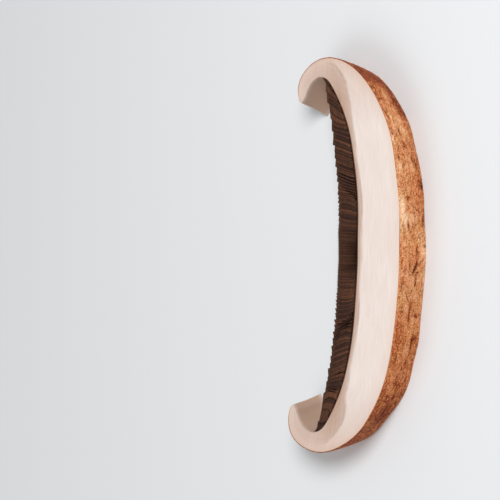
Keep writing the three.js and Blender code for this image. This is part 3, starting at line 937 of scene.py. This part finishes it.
# The gills: thin blades on the planes through the cap's axis, in tiers that fill the spaces of the
# ones before, hanging from a thin brown bed.
gill = {
    "step": math.radians(3.6),
    "tiers": [  # step and offset as shares of the first, start radius, share of the depth
        (1, 0, 4.0, 1.0), (1, 0.5, 4.5, 0.98), (0.5, 0.25, 5.0, 0.95), (0.25, 0.125, 24.0, 0.9),
    ],
    "lastAngle": math.radians(81.2),
    "unevenness": math.radians(0.12),
    "shortest": 0.25,  # shorter blades are left out
    "pointsAlong": 7,
    "pointsDown": 4,
    "outerRadius": 63.8,
    "depth": 9.8,
    "depthAtMargin": 0.06,
    "marginPower": 6,
    "leastDepth": 0.45,
    "depthWave": (0.5, 8),  # height and size
    "ramp": 7.0,  # from nothing to its full depth
    "sunk": 0.35,
    "rootThickness": 0.27,
    "edgeThickness": 0.16,
    "lean": 0.55,  # how far a gill's edge hangs to one side of its root
    "leanChange": (1.6, 17),  # share of that and size
    "belly": (0.875, 11),  # how far its middle bends out at the most, and size
    "ripple": (0.16, 3),  # of its edge alone
    "weave": (0.8, 28, 3.6),  # how far it winds, and size along and through the slice
    "weaveAtRoot": 0.3,  # share of that
    "bedThickness": 0.7,
    "bedAtEnd": 0.1,  # share of the thickness
    "bedShare": 0.81,  # of the way from the crown to the tip
    "bedUnevenness": (0.012, 2.2),  # share of the way and size
    "bedTaper": 11.0,  # it thins out over this way to its ends
    "bedPale": (0.5, 5),  # and turns pale from here to here before them
    "bedCount": (25, 150),  # rows, and points of half a row
    "bedOverlap": (0.05, 0.02),  # into the flesh, at its inner and its outer side
    "browns": [(48, 25, 15), (96, 58, 37)],
    "line": (38, 18, 10),
    "freeEdge": (120, 78, 54),
    "paleEnd": (184, 158, 140),
    "lineScale": (0.12, 1.6, 37.0),  # of the lines: outwards, downwards and from blade to blade
    "lineBump": (0.10, 0.6),  # height and strength
    "roughness": 0.75,
    "shine": 0.25,
}


# Columns of angle, start radius, share of the depth and random tone, one row for each blade.
def gillTable(rng):
    rows = []
    for step, offset, start, share in gill["tiers"]:
        step, offset = step * gill["step"], offset * gill["step"]
        count = int(gill["lastAngle"] / step) + 1
        places = offset + step * np.arange(-count, count + 1)
        places = places + gill["unevenness"] * rng.uniform(-1, 1, len(places))
        places = places[np.abs(places) < gill["lastAngle"]]
        rows.append(np.column_stack([places, np.tile([start, share], (len(places), 1))]))
    table = np.vstack(rows)
    return np.column_stack([table, rng.uniform(0, 1, len(table))])


# Blades as closed loops round a thin section, carried from one cut face to the other or to the
# margin. The depth is the full one, by a smooth step at the blade's start and by one less most of
# the radius's sixth power, and a slow noise is added. To the side, each blade leans, bellies out as
# a parabola, ripples at its edge and winds, by slow noises that its neighbours share. That is at
# right angles to its own plane, so near the margins a cut across it shows a long slanting strip.
def gillBlades(table, fromReach, toReach):
    angle, start, share, tone = table.T[:, :, None]
    blades = len(table)
    along = np.linspace(0, 1, gill["pointsAlong"])
    reach = fromReach[:, None] + (toReach - fromReach)[:, None] * along
    down = np.linspace(0, 1, gill["pointsDown"])
    wide = angle[..., None]
    deep = np.broadcast_to(reach[..., None], (*reach.shape, len(down)))
    spot = np.stack([deep * np.tan(wide), 0 * deep, deep], axis=-1)

    change, size = gill["leanChange"]
    lean = gill["lean"] * (1 + change * layeredNoise(spot, size, 2, 73)) * np.sin(wide)
    most, size = gill["belly"]
    belly = most * layeredNoise(spot, size, 2, 74)
    most, size = gill["ripple"]
    apart = [0, 1, 0] * down[:, None] * 2
    ripple = most * layeredNoise(spot / [size, 1, size] + apart, 1, 2, 75)
    most, size, through = gill["weave"]
    weave = most * gradientNoise(spot / [size, 1, through], 76)
    atRoot = gill["weaveAtRoot"]
    bend = lean * down + belly * 4 * down * (1 - down) + ripple * down
    bend = bend + weave * (atRoot + (1 - atRoot) * down)

    half = (gill["rootThickness"] + (gill["edgeThickness"] - gill["rootThickness"]) * down) / 2
    slant = 1 / np.cos(wide)
    middle = deep * np.tan(wide) + bend * slant
    across = np.concatenate([middle - half * slant, (middle + half * slant)[..., ::-1]], axis=-1)
    deep = np.concatenate([deep, deep], axis=-1)
    limit = np.sqrt(gill["outerRadius"] ** 2 - deep**2)
    across = np.clip(across, -limit, limit)

    # The root and the depth are those of the place where each point has come to.
    radius = np.hypot(across, deep)
    bothDown = np.concatenate([down, down[::-1]])
    ramp = gill["ramp"] / 2
    atStart = smoothStep(radius, start[..., None] - ramp, start[..., None] + ramp)
    outwards = (radius / gill["outerRadius"]) ** gill["marginPower"]
    atMargin = 1 - (1 - gill["depthAtMargin"]) * outwards
    most, size = gill["depthWave"]
    wave = most * layeredNoise(np.stack([across, 0 * across, deep], axis=-1), size, 2, 72)
    depth = gill["depth"] * share[..., None] * atStart * atMargin + wave
    depth = np.maximum(gill["leastDepth"], depth)
    outward = underside[: int(np.argmax(underside[:, 0]))]
    root = np.interp(radius, outward[:, 0], outward[:, 1])
    fall = gill["sunk"] + depth * bothDown
    solid = placed(across, root - fall, deep)

    rows, places = solid.shape[1:3]
    side = [loopFaces(rows, places, blade * rows * places) for blade in range(blades)]
    firsts = (np.arange(blades) * rows * places)[:, None, None]
    ends = (firsts + stripEnds(rows, places)).reshape(-1, 4)
    values = {
        "edge": np.broadcast_to(bothDown, across.shape),
        "blade": np.broadcast_to(tone[..., None], across.shape),
        "radial": radius,
        "fall": fall,
        "pale": np.zeros_like(radius),
    }
    values = {name: grid.ravel() for name, grid in values.items()}
    return solid.reshape(-1, 3), [*side, ends], values


# The bed that the blades grow from: the underside's sections and the same moved downwards, closed
# into a thin band. It thins out by a smooth step, and ends unevenly by a noise of the reach.
def gillBed():
    rowCount, halfCount = gill["bedCount"]
    reaches = np.linspace(cap["nearReach"], cap["farReach"], rowCount)
    most, size = gill["bedUnevenness"]
    uneven = gradientNoise(np.stack([reaches / size, 0 * reaches, 0 * reaches], axis=-1), 77)
    shares = gill["bedShare"] + most * uneven
    inside, outside = gill["bedOverlap"]
    atEnd = gill["bedAtEnd"]
    against, below, pale = [], [], []
    for reach, share in zip(reaches, shares):
        row = section(underside, reach, halfCount, share)
        toEnd = row[-1, 2] - row[:, 2]
        taper = atEnd + (1 - atEnd) * smoothStep(toEnd, 0, gill["bedTaper"])
        against.append(moved(row, inside)[:, :2])
        below.append(moved(row, outside - gill["bedThickness"] * taper)[:, :2])
        pale.append(1 - smoothStep(toEnd, *gill["bedPale"]))
    against, below, pale = (np.stack(each, axis=1) for each in (against, below, pale))
    loop = np.concatenate([against, below[:, ::-1]], axis=1)
    loopReach = np.broadcast_to(np.concatenate([reaches, reaches[::-1]]), loop.shape[:2])
    values = {"edge": 0.0, "blade": 0.5, "fall": 0.0}
    values = {name: np.full(loop.shape[:2], value) for name, value in values.items()}
    values["pale"] = np.concatenate([pale, pale[:, ::-1]], axis=1)
    values["radial"] = np.hypot(loop[..., 0], loopReach)
    points = placed(loop[..., 0], loop[..., 1], loopReach).reshape(-1, 3)
    faces = [loopFaces(*loopReach.shape), stripEnds(*loopReach.shape)]
    return points, faces, {name: grid.ravel() for name, grid in values.items()}


# One piece of all blades and their bed. A blade starts where it has some depth, and ends at the
# lower cut face or the margin.
def makeGills():
    table = gillTable(np.random.default_rng(71))
    angle, start = table[:, 0], table[:, 1]
    fromReach = np.maximum(cap["nearReach"], (start - gill["ramp"] / 2) * np.cos(angle))
    toReach = np.minimum(cap["farReach"], gill["outerRadius"] * np.cos(angle))
    kept = toReach - fromReach > gill["shortest"]
    parts = [gillBlades(table[kept], fromReach[kept], toReach[kept]), gillBed()]
    firsts = np.cumsum([0] + [len(points) for points, _, _ in parts])
    points = np.vstack([part[0] for part in parts])
    faces = [face + first for part, first in zip(parts, firsts) for face in part[1]]
    values = {name: np.concatenate([part[2][name] for part in parts]) for name in parts[0][2]}
    print("gills", int(kept.sum()), "blades")
    return addPiece("gillFan", points, faces, values, "gills", gillFinish())


# Dark browns that change from blade to blade, with fine lines that run outwards on each. The free
# edges are a little lighter, and the bed's ends turn pale.
def gillFinish():
    finish = Finish("mushroom gills")
    sockets = {}
    for axis, name, scale in zip("XYZ", ("radial", "fall", "blade"), gill["lineScale"]):
        sockets[axis] = finish.math("MULTIPLY", finish.attribute(name), scale)
    place = finish.node("ShaderNodeCombineXYZ", sockets).outputs[0]
    sockets = {"Vector": place, "Scale": 1.0, "Detail": 3.0, "Roughness": 0.6}
    lines = finish.node("ShaderNodeTexNoise", sockets).outputs["Fac"]
    colour = finish.mix(finish.attribute("blade"), *(linear(each) for each in gill["browns"]))
    colour = finish.mix(finish.span(lines, 0.32, 0.62, 0.35, 1), linear(gill["line"]), colour)
    edge = finish.span(finish.attribute("edge"), 0.8, 1, 0, 0.4)
    colour = finish.mix(edge, colour, linear(gill["freeEdge"]))
    ragged = finish.span(finish.noise(0.9, 3.0), 0.3, 0.7, -0.2, 0.2)
    pale = finish.math("ADD", finish.attribute("pale"), ragged)
    finish.surface({
        "Base Color": finish.mix(finish.span(pale, 0.22, 1), colour, linear(gill["paleEnd"])),
        "Roughness": gill["roughness"],
        "Specular IOR Level": gill["shine"],
        "Normal": finish.bump(lines, *gill["lineBump"]),
    })
    return finish.material


makeSkin()
makeFlesh()
makeGills()

# The stage: a plain pale floor, soft round panels of light and an even surround.
studio = {
    "floorSize": 4.0,
    "floorColour": (214, 216, 218),
    "floorRoughness": 0.8,
    "panels": [  # name, place, size, power
        ("key", (0.35, -0.55, 0.75), 0.5, 9), ("fill", (-0.6, 0.2, 0.8), 0.8, 3),
    ],
    "surround": 0.35,
}


# One square face.
def makeFloor():
    half = studio["floorSize"] / 2
    mesh = bpy.data.meshes.new("floor")
    corners = [(-half, -half, 0), (half, -half, 0), (half, half, 0), (-half, half, 0)]
    mesh.from_pydata(corners, [], [(0, 1, 2, 3)])
    floor = bpy.data.objects.new("floor", mesh)
    bpy.context.scene.collection.objects.link(floor)
    finish = Finish("pale floor")
    colour, roughness = linear(studio["floorColour"]), studio["floorRoughness"]
    finish.surface({"Base Color": colour, "Roughness": roughness})
    mesh.materials.append(finish.material)


makeFloor()
print("floor ready")

# The camera looks from the skin's side, rolled so that +X is up and the crown is on the right.
view = {
    "distance": 1.0,
    "elevation": math.radians(40.63),
    "roll": math.radians(1.71),
    "sliceRight": 37.99 * mm,  # where the slice's middle lies in the view
    "sliceUp": -1.97 * mm,
    "lens": 204.3,
    "sensor": 36,
    "farthest": 20,
}


# Its back, right and up are unit vectors at right angles: back is raised by the elevation, and the
# other two are turned about it by the roll.
def makeCamera():
    middle = Vector((0, 0, sliceThickness / 2 * mm))
    elevation, roll = view["elevation"], view["roll"]
    back = Vector((0, -math.cos(elevation), math.sin(elevation)))
    overhead = Vector((0, math.sin(elevation), math.cos(elevation)))
    along = Vector((1, 0, 0))
    right = -overhead * math.cos(roll) + along * math.sin(roll)
    up = along * math.cos(roll) + overhead * math.sin(roll)
    place = middle + back * view["distance"] - right * view["sliceRight"] - up * view["sliceUp"]
    lens = bpy.data.cameras.new("camera")
    lens.lens = view["lens"]
    lens.sensor_width = view["sensor"]
    lens.clip_end = view["farthest"]
    camera = bpy.data.objects.new("camera", lens)
    bpy.context.scene.collection.objects.link(camera)
    turned = Matrix((right, up, back)).transposed().to_4x4()
    camera.matrix_world = Matrix.Translation(place) @ turned
    bpy.context.scene.camera = camera


makeCamera()
print("camera ready")


# A panel that faces the origin.
def addPanel(name, place, size, power):
    light = bpy.data.lights.new(name, "AREA")
    light.shape = "DISK"
    light.size = size
    light.energy = power
    panel = bpy.data.objects.new(name, light)
    panel.location = place
    panel.rotation_euler = Vector(place).to_track_quat("Z", "Y").to_euler()
    bpy.context.scene.collection.objects.link(panel)


# An even white light from all sides.
def makeSurround():
    world = bpy.data.worlds.new("surround")
    world.use_nodes = True
    background = world.node_tree.nodes["Background"]
    background.inputs["Color"].default_value = (1, 1, 1, 1)
    background.inputs["Strength"].default_value = studio["surround"]
    bpy.context.scene.world = world


for panel in studio["panels"]:
    addPanel(*panel)
makeSurround()
bpy.context.scene.view_settings.view_transform = "Standard"
print("light ready")
